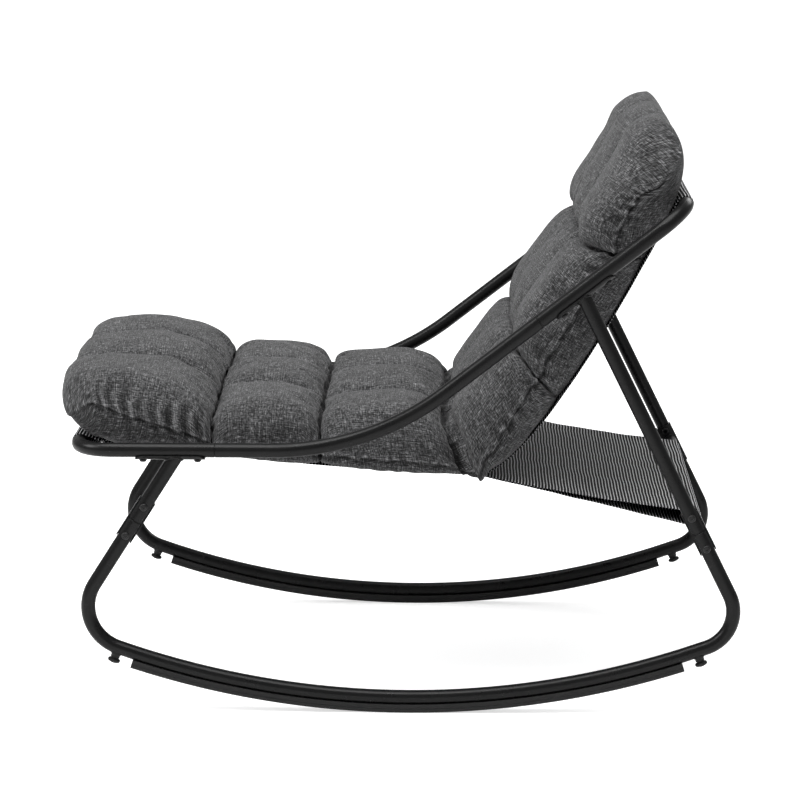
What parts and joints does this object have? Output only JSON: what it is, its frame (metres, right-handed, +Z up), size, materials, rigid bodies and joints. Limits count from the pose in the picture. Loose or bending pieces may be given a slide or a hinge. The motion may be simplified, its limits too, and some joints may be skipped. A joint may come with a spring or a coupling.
{
  "type": "rocking chaise lounge",
  "caption": "Outdoor rocking lounge chair: bent steel tube frame on curved rockers with rubber pads, a woven sling seat and back, and a tufted grey cushion.",
  "frame": {"origin": "on the floor under the middle of the whole chair", "axes": "+X to the rear of the chair, +Y to the right of someone who sits in it, +Z up"},
  "size_m": [1.0456, 0.6652, 0.906],
  "materials": {
    "frame_paint": "fine satin black powder coat",
    "black_steel": "black oxide, satin",
    "rubber": "matte black",
    "sling_mesh": "black woven mesh with thin light grey stripes",
    "cushion_cloth": "heathered grey linen-look polyester"
  },
  "bodies": {
    "frame": {"front_frame_tube": "frame_paint", "back_frame_tube": "frame_paint", "rear_crossbar": "frame_paint", "side_rail_left": "frame_paint", "rocker_tube_left": "frame_paint", "front_leg_left": "frame_paint", "rear_leg_left": "frame_paint", "front_channel_left": "frame_paint", "rocker_pad_left": "rubber", "saddle_bolt_front_1_left": "black_steel", "rail_insert_front_1_left": "black_steel", "saddle_bolt_front_2_left": "black_steel", "rail_insert_front_2_left": "black_steel", "channel_screw_front_upper_left": "black_steel", "channel_nut_front_upper_left": "black_steel", "channel_screw_front_lower_left": "black_steel", "channel_nut_front_lower_left": "black_steel", "saddle_bolt_rear_1_left": "black_steel", "rail_insert_rear_1_left": "black_steel", "saddle_bolt_rear_2_left": "black_steel", "rail_insert_rear_2_left": "black_steel", "channel_screw_rear_upper_left": "black_steel", "channel_nut_rear_upper_left": "black_steel", "channel_screw_rear_lower_left": "black_steel", "channel_nut_rear_lower_left": "black_steel", "side_rail_right": "frame_paint", "rocker_tube_right": "frame_paint", "front_leg_right": "frame_paint", "rear_leg_right": "frame_paint", "front_channel_right": "frame_paint", "rocker_pad_right": "rubber", "saddle_bolt_front_1_right": "black_steel", "rail_insert_front_1_right": "black_steel", "saddle_bolt_front_2_right": "black_steel", "rail_insert_front_2_right": "black_steel", "channel_screw_front_upper_right": "black_steel", "channel_nut_front_upper_right": "black_steel", "channel_screw_front_lower_right": "black_steel", "channel_nut_front_lower_right": "black_steel", "saddle_bolt_rear_1_right": "black_steel", "rail_insert_rear_1_right": "black_steel", "saddle_bolt_rear_2_right": "black_steel", "rail_insert_rear_2_right": "black_steel", "channel_screw_rear_upper_right": "black_steel", "channel_nut_rear_upper_right": "black_steel", "channel_screw_rear_lower_right": "black_steel", "channel_nut_rear_lower_right": "black_steel", "seat_sling": "sling_mesh", "back_sling": "sling_mesh", "lounge_cushion": "cushion_cloth"},
    "stopper_foot_front_left": {"stopper_foot_front_left": "rubber"},
    "stopper_foot_rear_left": {"stopper_foot_rear_left": "rubber"},
    "stopper_foot_front_right": {"stopper_foot_front_right": "rubber"},
    "stopper_foot_rear_right": {"stopper_foot_rear_right": "rubber"}
  },
  "joints": [
    {"name": "stopper_front_left_adjust", "type": "slide", "parent": "frame", "child": "stopper_foot_front_left", "axis": [-0.3354, 0, -0.9421], "range_m": [0, 0.005]},
    {"name": "stopper_rear_left_adjust", "type": "slide", "parent": "frame", "child": "stopper_foot_rear_left", "axis": [0.3354, 0, -0.9421], "range_m": [0, 0.005]},
    {"name": "stopper_front_right_adjust", "type": "slide", "parent": "frame", "child": "stopper_foot_front_right", "axis": [-0.3354, 0, -0.9421], "range_m": [0, 0.005]},
    {"name": "stopper_rear_right_adjust", "type": "slide", "parent": "frame", "child": "stopper_foot_rear_right", "axis": [0.3354, 0, -0.9421], "range_m": [0, 0.005]}
  ]
}
